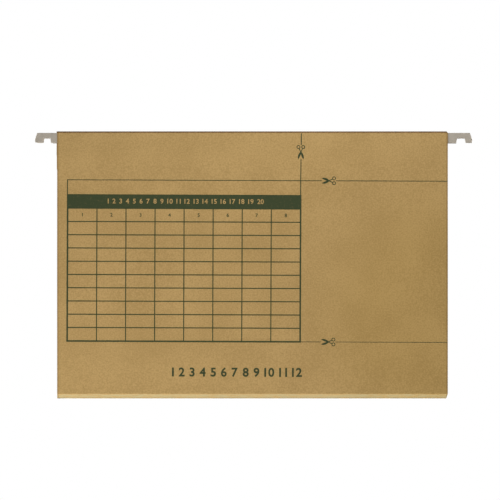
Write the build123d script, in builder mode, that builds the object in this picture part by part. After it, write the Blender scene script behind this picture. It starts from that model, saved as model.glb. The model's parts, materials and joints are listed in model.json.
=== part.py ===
from build123d import *
from math import atan2, cos, radians, sin, tan
import os

# Hanging file folder: one scored kraft card sheet, hemmed over a flat steel bar along each top edge.
# X runs along the bars, the front leaf faces -Y and Z is up. The origin is midway between the two
# drawer rails and midway between the two leaves, level with the rail seats. Sizes are in millimetres.

# Hanger bar, stamped from flat strip, with a notched hook at each end
rail_spacing = 390.5  # centre to centre of the two notches
notch_width = 7.3  # at the rail seat
notch_flare = 0.8  # how far each wall of the notch leans back at its mouth
bar_thickness = 0.9
neck_height = 4.95  # rail seat up to the top edge
shank_drop = 4.6  # rail seat down to the lower edge
tip_drop = 4.15  # rail seat down to the foot of the hook
tip_width = 7.1  # notch wall to the outermost point of the hook
tip_shoulder = 2.1  # how far the top corner of the hook is cut back
tip_knee = 1.3  # rail seat down to the outermost point of the hook
tip_toe = 0.3  # how far the hook turns in again below that point
corner_radius = 0.5

# Card sheet, folded to two leaves and a pair of narrow strips along the bottom
card = 0.4
shank_reach = 7.6  # bare bar between the card's edge and the notch
leaf_height = 247.3  # rolled top edge down to the score crease
strip_width = 9.2  # score crease to bottom fold
strip_slope = 30.0  # fall of each strip towards the bottom fold, in degrees
crease_gap = 0.3  # from a crease's axis to the edge of the panel that turns about it
strip_mitre = 1.0  # how far the right end of a strip is cut back at the bottom fold

# Hem, rolled over the bar and glued down inside the leaf
bar_clearance = 0.3  # between the bar and each wall of the hem
bar_headroom = 0.3  # top edge of the bar up to the centre of the roll
sleeve_foot = 2.0  # how far the hem hangs straight below the bar
flap_slope = 11.5  # height over which the flap closes in on the leaf
glue_height = 11.5
glue_thickness = 0.15
glue_margin = 3.0  # card left dry at each end of the glue line
hem_overhang = 0.6  # how far the hem stands out past the left edge of the leaf
hem_corner_cut = 1.4  # clipped top corner at the right end of the roll

# Where the sheet and the back bar lie along X, measured from the front bar
sheet_shift = -1.0
back_bar_shift = 1.0

# Bar, worked out from the sizes above
notch_in = (rail_spacing - notch_width) / 2
notch_out = (rail_spacing + notch_width) / 2
hook_end = notch_out + tip_width

# Card, worked out from the sizes above
sheet_width = 2 * (notch_in - shank_reach)
right_edge = sheet_shift + sheet_width / 2
leaf_y = strip_width * cos(radians(strip_slope))
inner_face = leaf_y - card / 2
sleeve_gap = bar_thickness + 2 * bar_clearance
bar_y = inner_face - sleeve_gap / 2
roll_radius = sleeve_gap / 2 + card
roll_z = neck_height + bar_headroom
top_z = roll_z + roll_radius
crease_z = top_z - leaf_height
sleeve_z = -shank_drop - sleeve_foot
glue_z = sleeve_z - flap_slope
flap_z = glue_z - glue_height

# Hem, worked out from the sizes above: its stretches are mitred where the card bends
hem_width = sheet_width + hem_overhang
hem_middle = sheet_shift - hem_overhang / 2
clipped_corner = Plane(origin=(right_edge, 0, top_z - hem_corner_cut), z_dir=(1, 0, 1))
wall_y = bar_y - roll_radius
flap_y = inner_face - glue_thickness - card
mitre = card * tan(atan2(flap_y - wall_y, flap_slope) / 2)
wall_top = [(wall_y, roll_z), (wall_y + card, roll_z)]
wall_foot = [(wall_y, sleeve_z), (wall_y + card, sleeve_z + mitre)]
flap_top = [(flap_y, glue_z), (flap_y + card, glue_z + mitre)]
flap_foot = [(flap_y, flap_z), (flap_y + card, flap_z)]
hem_stretches = {
    "wall": (*wall_top, *reversed(wall_foot)),
    "slope": (*wall_foot, *reversed(flap_top)),
    "flap": (*flap_top, *reversed(flap_foot)),
}

sides = {"front": -1, "back": 1}
bar_shift = {"front": 0, "back": back_bar_shift}


def section(side, centre_x):
    """Cross-section plane: local X points out of the folder on that side, local Y points up."""
    return Plane(origin=(centre_x, 0, 0), x_dir=(0, side, 0), z_dir=(side, 0, 0))


os.makedirs("parts", exist_ok=True)

for side_name, side in sides.items():
    # Leaf panel, flat from just above the score crease to the start of the roll
    with BuildPart() as panel:
        with BuildSketch(section(side, sheet_shift)):
            with Locations((leaf_y, crease_z + crease_gap)):
                Rectangle(card, roll_z - crease_z - crease_gap, align=(Align.CENTER, Align.MIN))
        extrude(amount=sheet_width / 2, both=True)
    panel.part.label = f"{side_name}_panel"
    export_step(panel.part, f"parts/{side_name}_panel.step")

    # Hem, first its rolled edge over the bar
    with BuildPart() as roll:
        with BuildSketch(section(side, hem_middle)):
            with BuildLine():
                roll_face = CenterArc((bar_y, roll_z), roll_radius, 0, 180)
                roll_back = CenterArc((bar_y, roll_z), sleeve_gap / 2, 0, 180)
                Line(roll_face @ 0, roll_back @ 0)
                Line(roll_face @ 1, roll_back @ 1)
            make_face()
        extrude(amount=hem_width / 2, both=True)
        split(bisect_by=clipped_corner, keep=Keep.BOTTOM)
    roll.part.label = f"{side_name}_hem_roll"
    export_step(roll.part, f"parts/{side_name}_hem_roll.step")

    # Then its straight stretches: a wall beside the bar, a slope, and the flap that is glued to the panel.
    # Each is a node of its own, so that the sleeve around the bar stays open in simulation.
    for stretch, corners in hem_stretches.items():
        with BuildPart() as straight:
            with BuildSketch(section(side, hem_middle)):
                Polygon(*corners, align=None)
            extrude(amount=hem_width / 2, both=True)
            split(bisect_by=clipped_corner, keep=Keep.BOTTOM)
        straight.part.label = f"{side_name}_hem_{stretch}"
        export_step(straight.part, f"parts/{side_name}_hem_{stretch}.step")

    # Glue line between the flap and the panel
    with BuildPart() as glue:
        with BuildSketch(section(side, sheet_shift)):
            with Locations((inner_face, flap_z)):
                Rectangle(glue_thickness, glue_height, align=(Align.MAX, Align.MIN))
        extrude(amount=sheet_width / 2 - glue_margin, both=True)
    glue.part.label = f"{side_name}_hem_glue"
    export_step(glue.part, f"parts/{side_name}_hem_glue.step")

    # Steel bar with a hook at each end
    bar_plane = Plane(origin=(bar_shift[side_name], side * bar_y, 0), x_dir=(1, 0, 0), z_dir=(0, -1, 0))
    with BuildPart() as bar:
        with BuildSketch(bar_plane):
            with BuildLine():
                Polyline(
                    (0, neck_height),
                    (hook_end - tip_shoulder, neck_height),
                    (hook_end, -tip_knee),
                    (hook_end - tip_toe, -tip_drop),
                    (notch_out + notch_flare, -tip_drop),
                    (notch_out, 0),
                    (notch_in, 0),
                    (notch_in - notch_flare, -shank_drop),
                    (0, -shank_drop),
                )
                mirror(about=Plane.YZ)
            outline = make_face()
            hook_corners = outline.vertices().filter_by(lambda corner: abs(corner.X) > notch_in / 2)
            fillet(hook_corners, radius=corner_radius)
        extrude(amount=bar_thickness / 2, both=True)
    bar.part.label = f"{side_name}_bar"
    export_step(bar.part, f"parts/{side_name}_bar.step")

    # Bottom strip, rounded along the score crease. The back strip also carries the rounded bottom
    # fold, and the front strip stops short of it.
    carries_fold = side_name == "back"
    strip_length = strip_width if carries_fold else strip_width - crease_gap
    with BuildPart() as strip:
        with BuildSketch(section(side, sheet_shift)):
            with Locations(Location((leaf_y, crease_z, 0), (0, 0, strip_slope))):
                Rectangle(strip_length, card, align=(Align.MAX, Align.CENTER))
                Circle(card / 2)
                if carries_fold:
                    with Locations((-strip_width, 0)):
                        Circle(card / 2)
        extrude(amount=sheet_width / 2, both=True)
        fall = Vector(0, -side * cos(radians(strip_slope)), -sin(radians(strip_slope)))
        end_normal = Vector(strip_width, 0, 0) + fall * strip_mitre
        trimmed_end = Plane(origin=(right_edge, side * leaf_y, crease_z), z_dir=end_normal)
        split(bisect_by=trimmed_end, keep=Keep.BOTTOM)
    strip.part.label = f"{side_name}_bottom_strip"
    export_step(strip.part, f"parts/{side_name}_bottom_strip.step")

print(f"card {sheet_width:.1f} wide, flat blank {2 * (leaf_height + strip_width):.1f} long without its hems")
print(f"leaf middle y {leaf_y:.4f}, bar middle y {bar_y:.4f}, crease z {crease_z:.3f}, top z {top_z:.3f}")
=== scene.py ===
# %% [markdown]
# # Dressing a hanging file folder
#
# A hanging folder is one sheet of brown kraft card, folded into two leaves. Each top edge is rolled over a
# flat steel bar and glued down inside, and the hooks at the bars' ends hang on the rails of a drawer.
# The frame that we load holds the folder as it is built, at its true size and with its joints. What it
# lacks is the look of card, steel and ink, and rounded folds, so we make those.

import json
import math

import bmesh
import bpy
from mathutils import Matrix, Vector


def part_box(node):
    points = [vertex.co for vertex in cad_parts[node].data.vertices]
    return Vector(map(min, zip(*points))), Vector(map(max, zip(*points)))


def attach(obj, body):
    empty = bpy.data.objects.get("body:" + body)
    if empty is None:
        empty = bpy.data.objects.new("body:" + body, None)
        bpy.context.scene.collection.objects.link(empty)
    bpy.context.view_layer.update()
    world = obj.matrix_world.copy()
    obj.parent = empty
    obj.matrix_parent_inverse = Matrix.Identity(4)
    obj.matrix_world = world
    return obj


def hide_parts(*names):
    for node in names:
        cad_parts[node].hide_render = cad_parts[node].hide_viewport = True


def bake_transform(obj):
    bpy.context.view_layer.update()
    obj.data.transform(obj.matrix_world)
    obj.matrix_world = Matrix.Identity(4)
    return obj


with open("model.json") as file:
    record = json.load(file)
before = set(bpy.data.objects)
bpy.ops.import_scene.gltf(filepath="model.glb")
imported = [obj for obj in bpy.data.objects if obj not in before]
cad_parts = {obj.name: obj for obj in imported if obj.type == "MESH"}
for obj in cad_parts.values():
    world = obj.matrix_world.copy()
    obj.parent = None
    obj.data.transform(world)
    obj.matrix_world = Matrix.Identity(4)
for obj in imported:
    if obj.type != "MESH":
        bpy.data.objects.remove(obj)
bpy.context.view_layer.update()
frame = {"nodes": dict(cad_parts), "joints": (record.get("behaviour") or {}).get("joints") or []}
print("frame nodes:", ", ".join(sorted(frame["nodes"])))

# %% [markdown]
# ## Measures
#
# A folder maker cuts every piece from one drawing, and so do we: the boxes of the frame's nodes and the
# axes of its creases give nearly all sizes. Card is so thin that it is easiest to think of the middle of
# its thickness, and of how far "out" from the folder's middle plane that lies. Front and back then share
# one set of numbers, and only the sign of Y differs.

# %% Read the card's measures from the frame
MM = 0.001
joints = {joint["name"]: joint for joint in frame["joints"]}
panel_low, panel_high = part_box("front_panel")
roll_low, roll_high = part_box("front_hem_roll")
flap_low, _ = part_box("front_hem_flap")
_, glue_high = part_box("front_hem_glue")
bar_low, bar_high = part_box("front_bar")
crease = Vector(joints["front_crease"]["pos_m"])
fold = Vector(joints["bottom_fold"]["pos_m"])

card = panel_high.y - panel_low.y
left_edge = panel_low.x
right_edge = panel_high.x
sheet_width = right_edge - left_edge
leaf_out = -crease.y
bar_out = -(bar_low.y + bar_high.y) / 2
roll_radius = leaf_out - bar_out
roll_z = panel_high.z
glue_z = glue_high.z
flap_z = flap_low.z
flap_out = -glue_high.y - card / 2
sides = {"front": -1, "back": 1}
print(f"card {card / MM:.2f} mm thick and {sheet_width / MM:.0f} mm wide")
print(f"roll radius {roll_radius / MM:.2f} mm to the middle of the card")

# %% [markdown]
# ## Stage, light and camera
#
# The folder is seen square on, against white. Its bottom strip is the brightest part and the rolled top
# edge the darkest, so the main light stands low, in front and to the left. A small one close to the top
# lifts the middle of the hem. One low on the right stands a little behind the folder, so it lifts the far
# end of the strip and leaves the front leaf alone. These three aren't mirrored in the steel, where they
# would burn out its edges. A broad one behind the camera gives the steel something to reflect, and one
# behind the folder keeps the back readable. Two at the sides stand just behind the front leaf's plane, so
# they shine into the pocket and don't touch its face. The world looks white to the camera but lights more
# dimly, because an even white glow from all sides would wash out every fold. The far floor gets little of
# all this, so it glows pale to the camera alone.

# %% Helpers that put things into the scene
def put_in_scene(thing):
    bpy.context.scene.collection.objects.link(thing)
    return thing


def piece_from(name, bm, *materials):
    """Turns a finished bmesh into an object that sits at the origin, with its place in its mesh."""
    mesh = bpy.data.meshes.new(name)
    bm.to_mesh(mesh)
    bm.free()
    for material in materials:
        mesh.materials.append(material)
    return put_in_scene(bpy.data.objects.new(name, mesh))


# %% A pale floor, far enough below to catch no hard shadow
floor_drop = 2.1
floor_radius = 4.5
floor_paint_tone = (0.25, 0.25, 0.25, 1)
floor_seen_tone = (0.86, 0.86, 0.85, 1)
floor_roughness = 0.9
floor_segments = 96
floor_paint = bpy.data.materials.new("floor_paint")
floor_paint.use_nodes = True
floor_tree = floor_paint.node_tree
floor_shader = floor_tree.nodes["Principled BSDF"]
floor_shader.inputs["Base Color"].default_value = floor_paint_tone
floor_shader.inputs["Roughness"].default_value = floor_roughness
floor_shader.inputs["Emission Color"].default_value = floor_seen_tone
floor_ray = floor_tree.nodes.new("ShaderNodeLightPath")
floor_tree.links.new(floor_ray.outputs["Is Camera Ray"], floor_shader.inputs["Emission Strength"])

bm = bmesh.new()
bmesh.ops.create_circle(bm, cap_ends=True, segments=floor_segments, radius=floor_radius)
bmesh.ops.translate(bm, verts=bm.verts, vec=(0, 0, -floor_drop))
floor = piece_from("floor", bm, floor_paint)
print("floor at z", -floor_drop)

# %% The world: white to look at, dim as a light
world_glow = 0.05
world_tone = (1, 1, 1, 1)
world = bpy.data.worlds.new("studio")
world.use_nodes = True
bpy.context.scene.world = world
world_tree = world.node_tree
world_tree.nodes.clear()
seen_white = world_tree.nodes.new("ShaderNodeBackground")
lights_dimly = world_tree.nodes.new("ShaderNodeBackground")
lights_dimly.inputs["Strength"].default_value = world_glow
seen_white.inputs["Color"].default_value = world_tone
lights_dimly.inputs["Color"].default_value = world_tone
ray_kind = world_tree.nodes.new("ShaderNodeLightPath")
choose = world_tree.nodes.new("ShaderNodeMixShader")
world_out = world_tree.nodes.new("ShaderNodeOutputWorld")
world_tree.links.new(ray_kind.outputs["Is Camera Ray"], choose.inputs["Fac"])
world_tree.links.new(lights_dimly.outputs["Background"], choose.inputs[1])
world_tree.links.new(seen_white.outputs["Background"], choose.inputs[2])
world_tree.links.new(choose.outputs["Shader"], world_out.inputs["Surface"])
bpy.context.scene.view_settings.view_transform = "Standard"
print("world glow", world_glow)

# %% Soft boxes
folder_middle = (panel_low + panel_high) / 2
folder_middle.y = 0


def soft_box(name, place, size, power, mirrored=True):
    """A square area light aimed at the middle of the folder, which the steel may mirror or not."""
    lamp = bpy.data.lights.new(name, "AREA")
    lamp.size = size
    lamp.energy = power
    box = put_in_scene(bpy.data.objects.new(name, lamp))
    box.location = place
    box.rotation_euler = (folder_middle - box.location).to_track_quat("-Z", "Y").to_euler()
    box.visible_camera = False
    box.visible_glossy = mirrored
    return box


soft_box("key_low_left", place=(-0.52, -0.65, -1.18), size=0.5, power=22.3, mirrored=False)
soft_box("fill_high", place=(0.09, -0.35, 0.32), size=0.3, power=1.76, mirrored=False)
soft_box("front_panel_light", place=(0, -3.2, 0), size=3, power=3.6)
soft_box("strip_light", place=(0.8, 0.2, -0.9), size=0.2, power=4.6, mirrored=False)
soft_box("back_light", place=(0.9, 2.2, 0.3), size=1.6, power=45)
for name, side_x in (("left_side_light", -2.0), ("right_side_light", 2.0)):
    soft_box(name, place=(side_x, 0.35, 0.5), size=1.2, power=32)

# %% The camera, square on and far away
view_width = 471 * MM  # how much of the folder's front face the picture spans
view_middle_x = -3.34 * MM
view_middle_z = -105.4 * MM
camera_lens = 240
camera_data = bpy.data.cameras.new("camera")
camera_data.lens = camera_lens
camera = put_in_scene(bpy.data.objects.new("camera", camera_data))
camera_distance = view_width * camera_lens / camera_data.sensor_width
camera.location = (view_middle_x, panel_low.y - camera_distance, view_middle_z)
camera.rotation_euler = (math.radians(90), 0, 0)
bpy.context.scene.camera = camera
print(f"camera {camera_distance:.2f} m from the front face")

# %% [markdown]
# ## Finishes
#
# Kraft card is unbleached pulp. Seen close it is a felt of pale and dark fibres with a few bark flecks, and
# seen from a step away it is a warm brown with a fine, restless mottle. The same felt shows on the flat
# faces, on the cut edges and through the printed ink, so it is one node group, placed in three materials.
# Patterns use Object coordinates in metres: a noise scale of 700 makes grains of about 1.4 mm.

# %% Small helpers for node trees
def add_node(tree, kind, **settings):
    node = tree.nodes.new(kind)
    for name, value in settings.items():
        setattr(node, name, value)
    return node


def noise(tree, vector, scale=1.0, detail=2.0, roughness=0.5):
    node = add_node(tree, "ShaderNodeTexNoise")
    node.inputs["Scale"].default_value = scale
    node.inputs["Detail"].default_value = detail
    node.inputs["Roughness"].default_value = roughness
    tree.links.new(vector, node.inputs["Vector"])
    return node.outputs["Fac"]


def stretched(tree, vector, scale, turn=(0, 0, 0)):
    """Coordinates squeezed by scale, so that a noise on them runs in streaks."""
    node = add_node(tree, "ShaderNodeMapping")
    node.inputs["Rotation"].default_value = turn
    node.inputs["Scale"].default_value = scale
    tree.links.new(vector, node.inputs["Vector"])
    return node.outputs["Vector"]


def remap(tree, value, low, high, to_low=0.0, to_high=1.0):
    node = add_node(tree, "ShaderNodeMapRange", interpolation_type="SMOOTHSTEP")
    for name, number in (("From Min", low), ("From Max", high), ("To Min", to_low), ("To Max", to_high)):
        node.inputs[name].default_value = number
    tree.links.new(value, node.inputs["Value"])
    return node.outputs["Result"]


def calculate(tree, operation, first, second=None):
    node = add_node(tree, "ShaderNodeMath", operation=operation)
    for place, value in enumerate((first, second)):
        if isinstance(value, (int, float)):
            node.inputs[place].default_value = value
        elif value is not None:
            tree.links.new(value, node.inputs[place])
    return node.outputs["Value"]


def mix_value(tree, first, second):
    """The even mean of two values."""
    return calculate(tree, "MULTIPLY", calculate(tree, "ADD", first, second), 0.5)


def mix_colour(tree, share, first, second, blend="MIX"):
    node = add_node(tree, "ShaderNodeMix", data_type="RGBA", blend_type=blend)
    for name, value in (("Factor_Float", share), ("A_Color", first), ("B_Color", second)):
        socket = next(one for one in node.inputs if one.identifier == name)
        if isinstance(value, (int, float, tuple)):
            socket.default_value = value
        else:
            tree.links.new(value, socket)
    return next(one for one in node.outputs if one.identifier == "Result_Color")


# %% The felt of kraft pulp, as a node group
cloud_scale = 24
cloud_share = 0.3
mottle_scale = 700
mottle_share = 0.7
pulp_range = (0.36, 0.64)  # of the tone, from the deep colour to the pale one
fibres_across = (170, 900, 1900)
fibres_along = (1700, 900, 220)
fibre_lean = (0, 0.5, 0)
fibre_range = (0.54, 0.74)
fibre_share = 0.4
bark_scale = 330
bark_cells = 0.1  # share of the cells that hold a fleck of bark
bark_range = (0.05, 0.3)
bark_share = 0.35
mottle_relief = 0.6
fibre_relief = 0.4


def build_kraft_felt():
    felt = bpy.data.node_groups.new("kraft_felt", "ShaderNodeTree")
    for name, kind in (("Position", "Vector"), ("Pale", "Color"), ("Deep", "Color"), ("Bark", "Color")):
        felt.interface.new_socket(name, in_out="INPUT", socket_type=f"NodeSocket{kind}")
    for name, kind in (("Colour", "Color"), ("Fibres", "Float"), ("Relief", "Float")):
        felt.interface.new_socket(name, in_out="OUTPUT", socket_type=f"NodeSocket{kind}")
    given = add_node(felt, "NodeGroupInput").outputs
    result = add_node(felt, "NodeGroupOutput").inputs
    position = given["Position"]

    clouds = noise(felt, position, cloud_scale, detail=3)
    mottle = noise(felt, position, mottle_scale, detail=3, roughness=0.6)
    streak_across = noise(felt, stretched(felt, position, fibres_across))
    streak_along = noise(felt, stretched(felt, position, fibres_along, fibre_lean))
    fibres = remap(felt, calculate(felt, "MAXIMUM", streak_across, streak_along), *fibre_range)

    large_part = calculate(felt, "MULTIPLY", clouds, cloud_share)
    small_part = calculate(felt, "MULTIPLY", mottle, mottle_share)
    tone = calculate(felt, "ADD", large_part, small_part)
    pulp = mix_colour(felt, remap(felt, tone, *pulp_range), given["Deep"], given["Pale"])
    pulp = mix_colour(felt, calculate(felt, "MULTIPLY", fibres, fibre_share), pulp, given["Pale"])

    cells = add_node(felt, "ShaderNodeTexVoronoi")
    cells.inputs["Scale"].default_value = bark_scale
    felt.links.new(position, cells.inputs["Vector"])
    cell_tint = add_node(felt, "ShaderNodeSeparateColor")
    felt.links.new(cells.outputs["Color"], cell_tint.inputs["Color"])
    chosen = calculate(felt, "LESS_THAN", cell_tint.outputs["Red"], bark_cells)
    near_middle = remap(felt, cells.outputs["Distance"], *bark_range, to_low=1.0, to_high=0.0)
    fleck = calculate(felt, "MULTIPLY", chosen, near_middle)
    colour = mix_colour(felt, calculate(felt, "MULTIPLY", fleck, bark_share), pulp, given["Bark"])

    low_relief = calculate(felt, "MULTIPLY", mottle, mottle_relief)
    high_relief = calculate(felt, "MULTIPLY", fibres, fibre_relief)
    relief = calculate(felt, "ADD", low_relief, high_relief)
    felt.links.new(colour, result["Colour"])
    felt.links.new(fibres, result["Fibres"])
    felt.links.new(relief, result["Relief"])
    return felt


kraft_felt = build_kraft_felt()
print("group", kraft_felt.name, "with", len(kraft_felt.nodes), "nodes")


# %% A material that starts from the felt
felt_depth = 0.15 * MM


def felt_material(name, pale, deep, bark, gloss, roughness, bump):
    """A paper material: returns it with its tree, its shader, the felt's outputs and the place."""
    material = bpy.data.materials.new(name)
    material.use_nodes = True
    tree = material.node_tree
    shader = tree.nodes["Principled BSDF"]
    shader.inputs["Specular IOR Level"].default_value = gloss
    shader.inputs["Roughness"].default_value = roughness
    place = add_node(tree, "ShaderNodeTexCoord").outputs["Object"]
    felt = add_node(tree, "ShaderNodeGroup", node_tree=kraft_felt)
    for socket, colour in (("Pale", pale), ("Deep", deep), ("Bark", bark)):
        felt.inputs[socket].default_value = (*colour, 1)
    tree.links.new(place, felt.inputs["Position"])
    raised = add_node(tree, "ShaderNodeBump")
    raised.inputs["Strength"].default_value = bump
    raised.inputs["Distance"].default_value = felt_depth
    tree.links.new(felt.outputs["Relief"], raised.inputs["Height"])
    tree.links.new(raised.outputs["Normal"], shader.inputs["Normal"])
    return material, tree, shader, felt.outputs, place


# %% [markdown]
# Light and shade are painted into the card's colour at known places. The last millimetre or so at each
# side is darker, a painted shade where the cut edge curls away from the light. The roll along the top is
# darker, a painted shade where it turns away from the light below. The lower right of the sheet is darker
# and yellower, a painted shade where less light and sheen reach it. Those are masks made from the place
# alone: X for the distance to the nearer side edge, Z for the height, and the distance from a point on the
# right edge for the lower right. The strips under the score creases are paler and greyer on their outer
# side, a painted sheen that is uneven in streaks, and darker along the bottom fold, a painted shade. They
# bend, so a mask made from the place would slide over them: their marks are two attributes, which we store
# at the points of the strips further down. A piece without them simply reads zero.

# %% Kraft card
kraft_pale = (0.476, 0.314, 0.126)
kraft_deep = (0.37, 0.239, 0.089)
kraft_bark = (0.24, 0.14, 0.05)
# painted shade: the side edges are darker where the cut edge curls away from the light
edge_band = 1.8 * MM
edge_painted_shade = (0.76, 0.73, 0.7, 1)
# painted shade: the roll along the top is darker where it turns away from the light below
roll_painted_shade = (0.5, 0.45, 0.53, 1)
roll_shading_start = 0.6 * MM  # how far below the start of the roll the painted shade begins
painted_shade_fade = 0.5 * MM
# painted shade: the strips are darker along the rounded bottom fold
fold_painted_shade = (0.9, 0.9, 0.9, 1)
# painted shade: the lower right is darker and yellower where less light and sheen reach the card
corner_painted_shade = (0.965, 0.955, 0.87, 1)
shaded_corner_height = 74 * MM  # of the middle of the painted shade at the lower right, above the crease
shaded_corner_middle = (right_edge, -leaf_out, crease.z + shaded_corner_height)
shaded_corner_range = (60 * MM, 150 * MM)  # full nearer than this, and gone farther than that
# painted sheen: the strips' outer side is paler and greyer, unevenly in streaks
strip_painted_sheen = (0.376, 0.323, 0.176, 1)
sheen_grain = (120, 900, 900)
noise_range = (0.3, 0.7)  # where nearly all values of a noise lie
sheen_range = (0.1, 0.9)


def build_kraft_card():
    material, tree, shader, felt, place = felt_material(
        "kraft_card", kraft_pale, kraft_deep, kraft_bark, gloss=0.12, roughness=0.85, bump=0.35
    )
    axes = add_node(tree, "ShaderNodeSeparateXYZ")
    tree.links.new(place, axes.inputs["Vector"])
    from_middle = calculate(tree, "SUBTRACT", axes.outputs["X"], (left_edge + right_edge) / 2)
    reach = calculate(tree, "ABSOLUTE", from_middle)
    shaded_edges = remap(tree, reach, sheet_width / 2 - edge_band, sheet_width / 2 - edge_band / 2)
    shaded_roll = remap(tree, axes.outputs["Z"], roll_z - roll_shading_start, roll_z - roll_shading_start + painted_shade_fade)
    sheen_share = add_node(tree, "ShaderNodeAttribute", attribute_name="painted_sheen").outputs["Fac"]
    shaded_fold = add_node(tree, "ShaderNodeAttribute", attribute_name="painted_fold_shading").outputs["Fac"]
    sheen_noise = noise(tree, stretched(tree, place, sheen_grain), detail=3)
    sheen_streaks = remap(tree, sheen_noise, *noise_range, *sheen_range)
    away = add_node(tree, "ShaderNodeVectorMath", operation="DISTANCE")
    away.inputs[1].default_value = shaded_corner_middle
    tree.links.new(place, away.inputs[0])
    shaded_corner = remap(tree, away.outputs["Value"], *shaded_corner_range, to_low=1.0, to_high=0.0)
    # painted shade at the lower right
    colour = mix_colour(tree, shaded_corner, felt["Colour"], corner_painted_shade, blend="MULTIPLY")
    # painted sheen on the strips' outer side
    colour = mix_colour(tree, calculate(tree, "MULTIPLY", sheen_share, sheen_streaks), colour, strip_painted_sheen)
    # painted shade at the side edges
    colour = mix_colour(tree, shaded_edges, colour, edge_painted_shade, blend="MULTIPLY")
    # painted shade on the top roll
    colour = mix_colour(tree, shaded_roll, colour, roll_painted_shade, blend="MULTIPLY")
    # painted shade along the bottom fold
    colour = mix_colour(tree, shaded_fold, colour, fold_painted_shade, blend="MULTIPLY")
    tree.links.new(colour, shader.inputs["Base Color"])
    return material


kraft_card = build_kraft_card()
print(kraft_card.name, "has", len(kraft_card.node_tree.nodes), "nodes")

# %% [markdown]
# The core that shows on a cut edge is paler and rougher than the pressed faces. Ink lies thin on the fibres
# that stand out, so a little of the card shows through it.

# %% The cut edge of the card
core_pale = (0.5, 0.36, 0.18)
core_deep = (0.3, 0.19, 0.08)


def build_cut_edge():
    material, tree, shader, felt, _ = felt_material(
        "kraft_cut_edge", core_pale, core_deep, kraft_bark, gloss=0.1, roughness=0.95, bump=0.6
    )
    tree.links.new(felt["Colour"], shader.inputs["Base Color"])
    return material


kraft_cut_edge = build_cut_edge()
print(kraft_cut_edge.name, "has", len(kraft_cut_edge.node_tree.nodes), "nodes")

# %% The printing ink
ink_green = (0.0465, 0.0597, 0.0283, 1)
blotch_scale = 500
blotch_range = (0.4, 0.7)
card_through_ink = (0.0, 0.12)


def build_ink():
    material, tree, shader, felt, place = felt_material(
        "printing_ink", kraft_pale, kraft_deep, kraft_bark, gloss=0.15, roughness=0.75, bump=0.3
    )
    blotches = noise(tree, place, blotch_scale, detail=3)
    thinness = remap(tree, blotches, *blotch_range, *card_through_ink)
    thin_spots = calculate(tree, "MULTIPLY", felt["Fibres"], thinness)
    colour = mix_colour(tree, thin_spots, ink_green, felt["Colour"])
    tree.links.new(colour, shader.inputs["Base Color"])
    return material


printing_ink = build_ink()
print(printing_ink.name, "has", len(printing_ink.node_tree.nodes), "nodes")

# %% [markdown]
# The bars are punched from cold rolled strip and plated dull, which leaves a soft grey that scatters more
# light than it mirrors, with faint lines along the rolling direction. The glue is a thin amber film that
# shows only at the ends of the hem.

# %% Dull steel
steel_dull = (0.56, 0.5, 0.415, 1)
steel_bright = (0.67, 0.6, 0.505, 1)
steel_metallic = 0.4
steel_roughness = (0.42, 0.56)
rolling_lines = (60, 4000, 4000)
rolling_depth = 0.05 * MM
rolling_bump = 0.12
patch_scale = 260


def build_bar_steel():
    material = bpy.data.materials.new("bar_steel")
    material.use_nodes = True
    tree = material.node_tree
    shader = tree.nodes["Principled BSDF"]
    shader.inputs["Metallic"].default_value = steel_metallic
    place = add_node(tree, "ShaderNodeTexCoord").outputs["Object"]
    rolling = noise(tree, stretched(tree, place, rolling_lines), detail=3)
    patches = noise(tree, place, patch_scale, detail=3)
    worn = mix_value(tree, rolling, patches)
    colour = mix_colour(tree, remap(tree, worn, *noise_range), steel_dull, steel_bright)
    tree.links.new(colour, shader.inputs["Base Color"])
    tree.links.new(remap(tree, worn, *noise_range, *steel_roughness), shader.inputs["Roughness"])
    raised = add_node(tree, "ShaderNodeBump")
    raised.inputs["Strength"].default_value = rolling_bump
    raised.inputs["Distance"].default_value = rolling_depth
    tree.links.new(rolling, raised.inputs["Height"])
    tree.links.new(raised.outputs["Normal"], shader.inputs["Normal"])
    return material


bar_steel = build_bar_steel()
print(bar_steel.name, "has", len(bar_steel.node_tree.nodes), "nodes")

# %% Dried glue, on the glue lines of the frame
glue_deep = (0.5, 0.33, 0.12, 1)
glue_pale = (0.78, 0.66, 0.42, 1)
glue_roughness = (0.25, 0.5)
ripple_scale = 220


def build_dried_glue():
    material = bpy.data.materials.new("dried_glue")
    material.use_nodes = True
    tree = material.node_tree
    shader = tree.nodes["Principled BSDF"]
    place = add_node(tree, "ShaderNodeTexCoord").outputs["Object"]
    ripples = noise(tree, place, ripple_scale)
    colour = mix_colour(tree, ripples, glue_deep, glue_pale)
    tree.links.new(colour, shader.inputs["Base Color"])
    tree.links.new(remap(tree, ripples, *noise_range, *glue_roughness), shader.inputs["Roughness"])
    return material


dried_glue = build_dried_glue()
for name in ("front_hem_glue", "back_hem_glue"):
    glue_line = frame["nodes"][name]
    glue_line.data.materials.clear()
    glue_line.data.materials.append(dried_glue)
print(dried_glue.name, "has", len(dried_glue.node_tree.nodes), "nodes")

# %% [markdown]
# ## The leaves
#
# On the real folder a leaf is one uninterrupted stretch of card: up the front, over the bar in a tight
# roll, down behind it and out again to the glued flap. The frame has the panel and each stretch of the hem
# apart, but in a picture the eye would find the joints. So we draw the section as a chain of edges, with
# spin for the roll, pull it along X, and let Solidify give it thickness on both sides of the drawn line.
# Card is never quite flat. Between its crease and its hem each leaf stands out by up to a millimetre or so,
# and the upper edge of the glue shows through as a low ridge.

# %% How far the card stands out from flat
bow_height = 0.9 * MM
even_bow = 0.65  # the shares of the bow that are even, one broad wave and a shorter one
broad_wave = 0.25
short_wave = 0.1
ridge_height = 0.35 * MM
ridge_fall = 12 * MM


def ease(share):
    share = min(1, max(0, share))
    return share * share * (3 - 2 * share)


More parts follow.
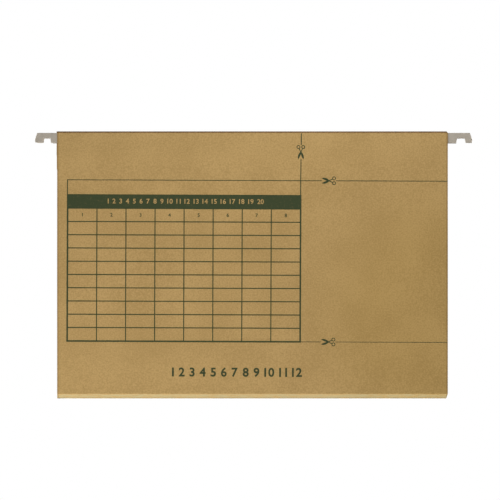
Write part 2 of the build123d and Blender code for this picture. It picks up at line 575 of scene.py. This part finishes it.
def stand_out(x, z, phase):
    """Distance of the card's middle from its flat place, outwards, at a point of a leaf."""
    if z > glue_z:
        return ridge_height * ease((roll_z - z) / (roll_z - glue_z))
    ridge = ridge_height * max(0, 1 - (glue_z - z) / ridge_fall) ** 2
    rise = (z - crease.z) / (flap_z - crease.z)
    if rise >= 1:
        return ridge
    across = (x - left_edge) / sheet_width
    waves = even_bow + broad_wave * math.sin(math.tau * across + phase)
    waves += short_wave * math.sin(3 * math.pi * across - phase)
    return ridge + bow_height * math.sin(math.pi * rise) ** 2 * waves


print(f"a leaf stands out {stand_out(0, folder_middle.z, 0) / MM:.2f} mm at its middle")

# %% Helpers for folded sheets
def draw_to(bm, corner, out, z):
    """Draws on from a corner of the section to the next one."""
    step = bmesh.ops.extrude_vert_indiv(bm, verts=[corner])
    step["verts"][0].co = (left_edge, out, z)
    return step["verts"][0], step["edges"][0]


def turn_about(bm, corner, out, z, angle, steps):
    """Draws on round an arc, turning about the line at (out, z)."""
    arc = bmesh.ops.spin(
        bm, geom=[corner], cent=(left_edge, out, z), axis=(1, 0, 0), angle=angle, steps=steps
    )
    return next(one for one in arc["geom_last"] if isinstance(one, bmesh.types.BMVert))


def pull_across(bm, cuts):
    """Pulls the section from the left edge of the sheet to the right edge."""
    pulled = bmesh.ops.extrude_edge_only(bm, edges=bm.edges[:])["geom"]
    far_end = [one for one in pulled if isinstance(one, bmesh.types.BMVert)]
    bmesh.ops.translate(bm, verts=far_end, vec=(sheet_width, 0, 0))
    across = [edge for edge in bm.edges if edge.calc_length() > sheet_width / 2]
    bmesh.ops.subdivide_edges(bm, edges=across, cuts=cuts, use_grid_fill=True)
    bmesh.ops.recalc_face_normals(bm, faces=bm.faces)


# %% Give a sheet its thickness and softened cut edges
cut_softness = 0.07 * MM
rim_facing = 0.5  # how much the rim at an end of the sheet looks along X, at least
smooth_below = math.radians(20)


def is_cut_edge(edge):
    """True along the sheet's two ends and its free flap, but not where two pieces meet in a seam."""
    rims = [face for face in edge.link_faces if face.material_index == 1]
    if len(rims) != 1:
        return False
    at_end = abs(rims[0].normal.x) > rim_facing
    at_flap = abs(rims[0].calc_center_median().z - flap_z) < card / 2
    return at_end or at_flap


def thicken(piece):
    """Solidifies a sheet evenly about its drawn middle, keeps the result and softens its cut edges."""
    wall = piece.modifiers.new("card_thickness", "SOLIDIFY")
    wall.thickness = card
    wall.offset = 0
    wall.use_even_offset = True
    wall.material_offset_rim = 1
    made = bpy.data.meshes.new_from_object(piece.evaluated_get(bpy.context.evaluated_depsgraph_get()))
    piece.modifiers.clear()
    piece.data = made
    bm = bmesh.new()
    bm.from_mesh(made)
    cut_edges = [edge for edge in bm.edges if is_cut_edge(edge)]
    bmesh.ops.bevel(
        bm, geom=cut_edges, offset=cut_softness, affect="EDGES", segments=2, profile=0.5, material=-1
    )
    bm.to_mesh(made)
    bm.free()
    made.shade_smooth()
    made.set_sharp_from_angle(angle=smooth_below)
    return piece


# %% Build both leaves
crease_reach = 1.5 * MM  # card beside a crease that bends with it
sleeve_foot = 2 * MM
hem_corner_cut = 1.4 * MM
sleeve_z = bar_low.z - sleeve_foot
hem_overhang = panel_low.x - roll_low.x
hem_nodes = ("hem_roll", "hem_wall", "hem_slope", "hem_flap")
end_reach = 1 * MM  # points nearer than this to an end of the sheet belong to that end
flat_within = 0.01 * MM  # points nearer than this to the flat leaf belong to its panel
roll_steps = 12
panel_cuts = 60
hem_cuts = 3
cuts_across = 91
ridge_cuts = 7


def leaf_sheet(side_name, phase):
    bm = bmesh.new()
    foot = bm.verts.new((left_edge, leaf_out, crease.z + crease_reach))
    shoulder, panel_line = draw_to(bm, foot, leaf_out, roll_z)
    behind_bar = turn_about(bm, shoulder, bar_out, roll_z, math.pi, roll_steps)
    sleeve_end, wall_line = draw_to(bm, behind_bar, bar_out - roll_radius, sleeve_z)
    glue_start, slope_line = draw_to(bm, sleeve_end, flap_out, glue_z)
    _, flap_line = draw_to(bm, glue_start, flap_out, flap_z)
    bmesh.ops.subdivide_edges(bm, edges=[panel_line], cuts=panel_cuts)
    bmesh.ops.subdivide_edges(bm, edges=[wall_line, slope_line, flap_line], cuts=hem_cuts)
    pull_across(bm, cuts_across)

    for vert in bm.verts:
        in_hem = ease((leaf_out - vert.co.y) / roll_radius)
        if vert.co.x < left_edge + end_reach:
            vert.co.x -= hem_overhang * in_hem
    whole = bm.verts[:] + bm.edges[:] + bm.faces[:]
    corner = (right_edge, 0, roll_high.z - hem_corner_cut)
    bmesh.ops.bisect_plane(bm, geom=whole, plane_co=corner, plane_no=(1, 0, 1), clear_outer=True)
    for step in range(ridge_cuts):
        whole = bm.verts[:] + bm.edges[:] + bm.faces[:]
        height = glue_z - ridge_fall * step / (ridge_cuts - 1)
        bmesh.ops.bisect_plane(bm, geom=whole, plane_co=(0, 0, height), plane_no=(0, 0, 1))

    side = sides[side_name]
    for vert in bm.verts:
        on_panel = abs(vert.co.y - leaf_out) < flat_within
        bulge = stand_out(vert.co.x, vert.co.z, phase) if on_panel else 0
        vert.co.y = side * (vert.co.y + bulge)
    bmesh.ops.recalc_face_normals(bm, faces=bm.faces)
    leaf = thicken(piece_from(f"{side_name}_leaf_card", bm, kraft_card, kraft_cut_edge))
    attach(leaf, f"{side_name}_leaf")
    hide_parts(f"{side_name}_panel", *[f"{side_name}_{node}" for node in hem_nodes])
    return leaf


wave_phase = {"front": 0.6, "back": 2.4}
for side_name in sides:
    leaf = leaf_sheet(side_name, wave_phase[side_name])
    print(leaf.name, len(leaf.data.polygons), "faces")

# %% [markdown]
# ## The creases and the bottom strips
#
# Three scored creases let the sheet fold: one under each leaf and one along the bottom, between two
# narrow strips. Card doesn't break there, it bends in a tight arc. Each crease is therefore a piece of its
# own, drawn at rest, that reaches to the middle of the strip. Each straight run has a few cuts, so that the
# marks stored at its points fade where they should.

# %% Directions along a strip
fold_radius = 0.6 * MM
strip_mitre = 1 * MM  # the right end of a strip is trimmed back towards the bottom fold
strip_flare = 0.4 * MM  # and its left end runs out a little there
bend_reach = 1.2 * MM  # how far beside a crease the card still bends
run_cuts = 8  # along each straight run of a strip
bend_steps = 8  # round each bend
strip_line = Vector((0, leaf_out, crease.z)) - Vector((0, 0, fold.z))
half_strip = strip_line.length / 2
strip_rise = math.asin(strip_line.z / strip_line.length)
crease_turn = math.pi / 2 - strip_rise
fold_turn = 2 * strip_rise
print(f"strip {strip_line.length / MM:.1f} mm wide, rising {math.degrees(strip_rise):.0f} degrees")


def on_strip(from_fold):
    """Section point at a distance up the strip from the bottom fold."""
    return Vector((0, 0, fold.z)) + strip_line.normalized() * from_fold


# %% Mark the outer side of a strip and finish it
sheen_fade = 0.9 * MM
fold_shading_reach = 1.9 * MM  # reach of the painted shade above the bottom fold


def mark_outer_side(piece):
    """Stores the share of painted sheen, and of painted shade along the bottom fold, at each point whose
    face looks down.
    """
    painted_sheen = piece.data.attributes.new("painted_sheen", "FLOAT", "POINT")
    painted_fold_shading = piece.data.attributes.new("painted_fold_shading", "FLOAT", "POINT")
    for vert in piece.data.vertices:
        if vert.normal.z < 0:
            painted_sheen.data[vert.index].value = ease((crease.z - vert.co.z) / sheen_fade)
            painted_fold_shading.data[vert.index].value = ease((fold.z + fold_shading_reach - vert.co.z) / painted_shade_fade)
    return piece


def finish_strip(bm, runs, name, side):
    """Pulls a strip's section across the sheet, shapes its ends, gives it thickness and marks it."""
    bmesh.ops.subdivide_edges(bm, edges=runs, cuts=run_cuts)
    pull_across(bm, cuts_across)
    for vert in bm.verts:
        fall = max(0, (crease.z - vert.co.z) / (crease.z - fold.z))
        if vert.co.x > right_edge - end_reach:
            vert.co.x -= strip_mitre * fall
        if vert.co.x < left_edge + end_reach:
            vert.co.x -= strip_flare * fall
        vert.co.y *= side
    bmesh.ops.recalc_face_normals(bm, faces=bm.faces)
    return mark_outer_side(thicken(piece_from(name, bm, kraft_card, kraft_cut_edge)))


# %% The crease under each leaf
def leaf_crease(side_name):
    side = sides[side_name]
    tangent = fold_radius * math.tan(crease_turn / 2)
    bm = bmesh.new()
    top = bm.verts.new((left_edge, leaf_out, crease.z + crease_reach))
    bend, _ = draw_to(bm, top, leaf_out, crease.z + tangent)
    bent = turn_about(bm, bend, leaf_out - fold_radius, crease.z + tangent, -crease_turn, bend_steps)
    middle = on_strip(half_strip)
    _, strip_run = draw_to(bm, bent, middle.y, middle.z)
    piece = finish_strip(bm, [strip_run], f"{side_name}_crease_card", side)
    end = on_strip(2 * half_strip - bend_reach)
    end.y *= side
    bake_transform(piece)
    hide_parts(f"{side_name}_bottom_strip")
    return piece


for side_name in sides:
    print(leaf_crease(side_name).name, "blends between its leaf and its strip")

# %% The fold along the bottom
def bottom_fold_piece():
    tangent = fold_radius * math.tan(fold_turn / 2)
    bm = bmesh.new()
    middle = on_strip(half_strip)
    top = bm.verts.new((left_edge, middle.y, middle.z))
    near = on_strip(tangent)
    bend, front_run = draw_to(bm, top, near.y, near.z)
    centre_z = near.z + fold_radius * math.cos(strip_rise)
    bent = turn_about(bm, bend, 0, centre_z, -fold_turn, bend_steps)
    _, back_run = draw_to(bm, bent, -middle.y, middle.z)
    piece = finish_strip(bm, [front_run, back_run], "bottom_fold_card", sides["front"])
    start = on_strip(bend_reach)
    start.y *= sides["front"]
    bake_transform(piece)
    return piece


print(bottom_fold_piece().name, "blends between the two strips")

# %% [markdown]
# ## The hanger bars
#
# A press punches each bar, hooks and all, from flat strip. The die rolls the edges over slightly, and those
# soft edges are what catches the light. The outline is already right in the frame, so we copy the node,
# weld its loose triangles back into flat faces and bevel the edges all round.

# %% Soften the edges of both bars
die_roll = 0.3 * MM
weld_distance = 0.001 * MM
flat_below = math.radians(0.5)
rim_above = math.radians(60)
flat_facing = 0.999  # how much a flat face of the bar looks along Y, at least


def hanger_bar(side_name):
    node = frame["nodes"][f"{side_name}_bar"]
    bm = bmesh.new()
    bm.from_mesh(node.data)
    bmesh.ops.remove_doubles(bm, verts=bm.verts, dist=weld_distance)
    bmesh.ops.dissolve_limit(bm, angle_limit=flat_below, verts=bm.verts, edges=bm.edges)
    rims = [edge for edge in bm.edges if edge.calc_face_angle(0) > rim_above]
    bmesh.ops.bevel(
        bm, geom=rims, offset=die_roll, clamp_overlap=True,
        affect="EDGES", segments=4, profile=0.5, material=-1,
    )
    for face in bm.faces:
        face.smooth = True
    for edge in bm.edges:
        edge.smooth = len({abs(face.normal.y) > flat_facing for face in edge.link_faces}) == 1
    bar = piece_from(f"{side_name}_hanger_bar", bm, bar_steel)
    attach(bar, f"{side_name}_hanger")
    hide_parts(f"{side_name}_bar")
    return bar


for side_name in sides:
    bar = hanger_bar(side_name)
    print(bar.name, len(bar.data.polygons), "faces")

# %% [markdown]
# ## The print
#
# One dark green ink prints a blank form on the front leaf: a ruled table under a solid band, and three cut
# lines, each marked with open scissors. Print sits a fraction of a degree askew, as it does when a sheet
# runs through the press. A texture would blur such fine rules, so the ink is a film of real geometry, a
# few hundredths of a millimetre thick. We draw it flat, lying face up, then stand it on the leaf, where it
# follows the same bulge as the card. That needs enough points: broad faces are divided first, and the film
# is cut where it crosses the ridge of the glue.

# %% Stand a flat drawing on the front leaf
form_left = 10.27 * MM  # from the left edge of the card
form_top = 38.9 * MM  # below the rail seats
form_skew = math.radians(0.22)
ink_thickness = 0.04 * MM
ink_bite = 0.005 * MM  # how deep the film sits in the card
longest_span = 1.8 * MM
half_unit = 0.5  # a grid or circle of this size is one unit across, and is scaled to its real size


def verts_in(geometry):
    return [one for one in geometry if isinstance(one, bmesh.types.BMVert)]


def long_spans(bm):
    return [edge for edge in bm.edges if edge.calc_length() > longest_span]


def divide(bm):
    """Divides a flat drawing until none of its edges is a long span."""
    bmesh.ops.triangulate(bm, faces=[face for face in bm.faces if len(face.verts) > 4])
    while long_spans(bm):
        bmesh.ops.subdivide_edges(
            bm, edges=long_spans(bm), cuts=1, use_grid_fill=True, use_single_edge=True
        )


def print_on_leaf(name, bm, material, lift=0.0):
    """Makes a film of a flat drawing, whose X runs right and Y up, and stands it on the front leaf."""
    divide(bm)
    underside = bm.verts[:]
    tops = verts_in(bmesh.ops.extrude_face_region(bm, geom=bm.faces[:])["geom"])
    bmesh.ops.translate(bm, verts=tops, vec=(0, 0, ink_thickness + ink_bite))
    bmesh.ops.scale(bm, verts=underside, vec=(1, 1, 0))
    bmesh.ops.recalc_face_normals(bm, faces=bm.faces)
    upright = Matrix.Rotation(form_skew, 4, "Y") @ Matrix.Rotation(math.pi / 2, 4, "X")
    place = Matrix.Translation((left_edge + form_left, panel_low.y + ink_bite - lift, -form_top))
    bmesh.ops.transform(bm, verts=bm.verts, matrix=place @ upright)
    whole = bm.verts[:] + bm.edges[:] + bm.faces[:]
    bmesh.ops.bisect_plane(bm, geom=whole, plane_co=(0, 0, glue_z), plane_no=(0, 0, 1))
    for vert in bm.verts:
        vert.co.y -= stand_out(vert.co.x, vert.co.z, wave_phase["front"])
    piece = piece_from(name, bm, material)
    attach(piece, "front_leaf")
    return piece


# %% The ruled table
columns = 8
rows = 10
table_width = 218.9 * MM
row_height = 12.48 * MM
band_height = 12.2 * MM
table_top = -27.1 * MM
rule = 0.97 * MM
frame_rule = 1.04 * MM  # what the outer frame adds outside the table
table_foot = table_top - rows * row_height
band_top = table_top + band_height


def add_band(bm):
    """Extrudes one more row from the top edge of the grid."""
    top_edges = [edge for edge in bm.edges if min(vert.co.y for vert in edge.verts) > table_top - rule]
    grown = bmesh.ops.extrude_edge_only(bm, edges=top_edges)["geom"]
    bmesh.ops.translate(bm, verts=verts_in(grown), vec=(0, band_height, 0))


def add_outer_frame(bm):
    """Extrudes the outline of the table and spreads it outwards all round."""
    outline = [edge for edge in bm.edges if edge.is_boundary]
    grown = verts_in(bmesh.ops.extrude_edge_only(bm, edges=outline)["geom"])
    table_height = band_top - table_foot
    middle = Vector((table_width / 2, table_foot + table_height / 2, 0))
    spread = (1 + 2 * frame_rule / table_width, 1 + 2 * frame_rule / table_height, 1)
    bmesh.ops.scale(bm, verts=grown, vec=spread, space=Matrix.Translation(-middle))


bm = bmesh.new()
bmesh.ops.create_grid(bm, x_segments=columns, y_segments=rows, size=half_unit)
bmesh.ops.scale(bm, verts=bm.verts, vec=(table_width, rows * row_height, 1))
bmesh.ops.translate(bm, verts=bm.verts, vec=(table_width / 2, table_top - rows * row_height / 2, 0))
cells = bm.faces[:]
add_band(bm)
add_outer_frame(bm)
bmesh.ops.inset_individual(bm, faces=cells, thickness=rule / 2, use_even_offset=True)
bmesh.ops.delete(bm, geom=cells, context="FACES")
printed_table = print_on_leaf("printed_table", bm, printing_ink)
print(printed_table.name, len(printed_table.data.polygons), "faces")

# %% The thin rules: an index box above the table, and cut lines broken where the scissors stand
high_cut_rule = 0.7 * MM
low_cut_rule = 0.5 * MM
upright_rule = 0.92 * MM
rule_gap = 0.01 * MM  # under the corners of the index box, so that no two films share an edge
cut_lean = 0.01  # the upright cut line leans to the right, as a share of its height
frame_middle = frame_rule / 2 - rule / 4  # from the table's edge out to the middle of its frame
cut_column = table_width + frame_middle
high_cut = -high_cut_rule / 2
low_cut = table_foot - frame_middle
scissors_above_table = 26.4 * MM
scissors_beside_table = 26.7 * MM
gap_ahead = 6.6 * MM
gap_behind = 6.8 * MM
sheet_top = form_top + roll_z
sheet_right = sheet_width - form_left


def add_rule(bm, start, end, weight):
    """A straight rule between two points of the drawing, either level or upright."""
    run = Vector(end) - Vector(start)
    made = bmesh.ops.create_grid(bm, x_segments=1, y_segments=1, size=half_unit)["verts"]
    bmesh.ops.scale(bm, verts=made, vec=(max(abs(run.x), weight), max(abs(run.y), weight), 1))
    middle = (Vector(start) + Vector(end)) / 2
    bmesh.ops.translate(bm, verts=made, vec=(middle.x, middle.y, 0))


bm = bmesh.new()
beside = table_width + scissors_beside_table
box_foot = band_top + frame_rule
box_left = -frame_rule / 2
for side_x in (box_left, cut_column):
    add_rule(bm, (side_x, box_foot), (side_x, -high_cut_rule - rule_gap), upright_rule)
add_rule(bm, (box_left - upright_rule / 2, high_cut), (beside - gap_ahead, high_cut), high_cut_rule)
add_rule(bm, (beside + gap_behind, high_cut), (sheet_right, high_cut), high_cut_rule)
add_rule(bm, (table_width + frame_rule, low_cut), (beside - gap_ahead, low_cut), low_cut_rule)
add_rule(bm, (beside + gap_behind, low_cut), (sheet_right, low_cut), low_cut_rule)
add_rule(bm, (cut_column, 0), (cut_column, scissors_above_table - gap_ahead), upright_rule)
add_rule(bm, (cut_column, scissors_above_table + gap_behind), (cut_column, sheet_top), upright_rule)
for vert in bm.verts:
    vert.co.x += cut_lean * max(0, vert.co.y)
printed_rules = print_on_leaf("printed_rules", bm, printing_ink)
print(printed_rules.name, len(printed_rules.data.polygons), "faces")

# %% Open scissors, drawn flat
blade_length = 6.7 * MM
blade_width = 2.8 * MM
blade_point = 0.8 * MM  # drawn out at the tip
blade_hollow = 0.45  # how much flatter a blade is on its inner side
blade_offset = 0.46  # from the pivot to the middle of a blade, as a share of its length
blade_spread = math.radians(20)
blade_segments = 20
ring_radius = 1.8 * MM
ring_rule = 0.75 * MM
ring_back = 4.95 * MM
ring_aside = 2.25 * MM
ring_segments = 24
shank_rule = 0.8 * MM
ink_layer = 0.005 * MM  # how far a stroke lies above the one that it crosses


def add_blade(bm, hand):
    """A blade that starts a little behind the pivot: bowed on its outer side, nearly straight inside."""
    blade = bmesh.ops.create_circle(bm, cap_ends=True, segments=blade_segments, radius=half_unit)["verts"]
    bmesh.ops.scale(bm, verts=blade, vec=(blade_length, blade_width, 1))
    tip = max(blade, key=lambda vert: vert.co.x)
    tip.co.x += blade_point
    inner_side = [vert for vert in blade if vert.co.y * hand < 0]
    bmesh.ops.scale(bm, verts=inner_side, vec=(1, blade_hollow, 1))
    bmesh.ops.translate(bm, verts=blade, vec=(blade_length * blade_offset, 0, 0))
    bmesh.ops.rotate(bm, verts=blade, matrix=Matrix.Rotation(hand * blade_spread, 3, "Z"))
    return blade


def add_ring(bm, aside):
    ring = bmesh.ops.create_circle(bm, cap_ends=False, segments=ring_segments, radius=ring_radius)["verts"]
    rim = [edge for edge in bm.edges if all(vert in ring for vert in edge.verts)]
    inner = verts_in(bmesh.ops.extrude_edge_only(bm, edges=rim)["geom"])
    shrink = 1 - ring_rule / ring_radius
    bmesh.ops.scale(bm, verts=inner, vec=(shrink, shrink, 1))
    bmesh.ops.translate(bm, verts=ring + inner, vec=(-ring_back, aside, 0))
    return ring + inner


def add_shank(bm, aside):
    to_ring = Vector((-ring_back, aside))
    length = to_ring.length - ring_radius + ring_rule / 2
    shank = bmesh.ops.create_grid(bm, x_segments=1, y_segments=1, size=half_unit)["verts"]
    bmesh.ops.scale(bm, verts=shank, vec=(length, shank_rule, 1))
    bmesh.ops.translate(bm, verts=shank, vec=(length / 2, 0, 0))
    turn = math.atan2(to_ring.y, to_ring.x)
    bmesh.ops.rotate(bm, verts=shank, matrix=Matrix.Rotation(turn, 3, "Z"))
    return shank


def add_scissors(bm, pivot, heading):
    """Draws two halves that cross at the pivot. Each stroke is a layer, so that no two share one plane."""
    drawn = []
    for hand in (-1, 1):
        aside = -hand * ring_aside
        for stroke in (add_blade(bm, hand), add_ring(bm, aside), add_shank(bm, aside)):
            bmesh.ops.translate(bm, verts=drawn, vec=(0, 0, ink_layer))
            drawn += stroke
    bmesh.ops.rotate(bm, verts=drawn, matrix=Matrix.Rotation(heading, 3, "Z"))
    bmesh.ops.translate(bm, verts=drawn, vec=(*pivot, 0))


bm = bmesh.new()
add_scissors(bm, (cut_column, scissors_above_table), -math.pi / 2)
add_scissors(bm, (beside, high_cut), math.pi)
add_scissors(bm, (beside, low_cut), math.pi)
printed_scissors = print_on_leaf("printed_scissors", bm, printing_ink)
print(printed_scissors.name, len(printed_scissors.data.polygons), "faces")

# %% [markdown]
# Plain numbers head the columns, run along the band and stand below the table. Blender's own letter
# shapes do for that, but they are thin for print. Text has an offset that thickens it, yet it folds the
# tight corner inside a 4 over itself, so we move the outline ourselves and fill it again. A number is a
# mesh before it is put in place, which also tells how wide it is, so a row of numbers can be set as a
# printer sets type, with equal gaps instead of equal steps. The numbers in the band are bare card that
# shows through the ink.

# %% Make a number bolder
closest_corners = 0.03 * MM  # corners nearer than this become one, or they would cross as they move


def embolden(shape, weight):
    """Moves the outline of a flat shape outwards all round, with sharp corners, and fills it afresh."""
    bm = bmesh.new()
    bm.from_mesh(shape)
    bmesh.ops.remove_doubles(bm, verts=bm.verts, dist=closest_corners)
    outwards = {}
    for edge in bm.edges:
        if edge.is_boundary:
            loop = edge.link_loops[0]
            along = (loop.link_loop_next.vert.co - loop.vert.co).normalized()
            for vert in edge.verts:
                outwards.setdefault(vert, []).append(along.cross(Vector((0, 0, 1))))
    for vert, (first, second) in outwards.items():
        vert.co += weight * (first + second) / (1 + first.dot(second))
    inner_edges = [edge for edge in bm.edges if not edge.is_boundary]
    bmesh.ops.delete(bm, geom=inner_edges, context="EDGES_FACES")
    bmesh.ops.delete(bm, geom=bm.faces[:], context="FACES_ONLY")
    bmesh.ops.triangle_fill(bm, use_beauty=True, edges=bm.edges[:], normal=(0, 0, 1))
    bm.to_mesh(shape)
    bm.free()


# %% Set plain numbers in rows
digit_share = 0.7  # height of a digit as a share of the size of its type
digit_resolution = 4


def number_shape(number, height, weight):
    """A number as a flat mesh, centred on the origin, and its width."""
    writing = bpy.data.curves.new("number", "FONT")
    writing.body = str(number)
    writing.align_x = "CENTER"
    writing.align_y = "CENTER"
    writing.size = height / digit_share
    writing.resolution_u = digit_resolution
    holder = bpy.data.objects.new("number", writing)
    shape = bpy.data.meshes.new_from_object(holder)
    bpy.data.objects.remove(holder)
    bpy.data.curves.remove(writing)
    embolden(shape, weight)
    reach = [vert.co.x for vert in shape.vertices]
    shape.transform(Matrix.Translation((-(min(reach) + max(reach)) / 2, 0, 0)))
    return shape, max(reach) - min(reach)


def place_number(bm, shape, middle):
    shape.transform(Matrix.Translation((*middle, 0)))
    bm.from_mesh(shape)
    bpy.data.meshes.remove(shape)


def set_row(bm, last, height, weight, left, right, level):
    """Sets the numbers from 1 to last in a row that fills the space from left to right."""
    shapes = [number_shape(number, height, weight) for number in range(1, last + 1)]
    gap = (right - left - sum(width for shape, width in shapes)) / (last - 1)
    for shape, width in shapes:
        place_number(bm, shape, (left + width / 2, level))
        left += width + gap
    return gap


# %% Numbers printed in ink
heading_height = 3.3 * MM
heading_weight = 0.1 * MM
foot_last = 12
foot_height = 8 * MM
foot_weight = 0.33 * MM
foot_left = 98.6 * MM
foot_right = 221 * MM
foot_below = 181.5 * MM
bm = bmesh.new()
for column in range(columns):
    shape, _ = number_shape(column + 1, heading_height, heading_weight)
    place_number(bm, shape, ((column + 0.5) * table_width / columns, table_top - row_height / 2))
gap = set_row(bm, foot_last, foot_height, foot_weight, foot_left, foot_right, -foot_below)
printed_numbers = print_on_leaf("printed_numbers", bm, printing_ink)
print(f"{printed_numbers.name}: gaps of {gap / MM:.1f} mm along the foot")

# %% Numbers left bare in the band
band_last = 20
band_number_lift = 0.03 * MM  # so that they lie clear of the ink
band_number_height = 4.4 * MM
band_number_weight = 0.12 * MM
band_left = 37.5 * MM
band_right = 184.5 * MM
bm = bmesh.new()
band_middle = table_top + (band_height + frame_rule) / 2
gap = set_row(bm, band_last, band_number_height, band_number_weight, band_left, band_right, band_middle)
band_numbers = print_on_leaf("band_numbers", bm, kraft_card, lift=band_number_lift)
print(f"{band_numbers.name}: gaps of {gap / MM:.1f} mm in the band")
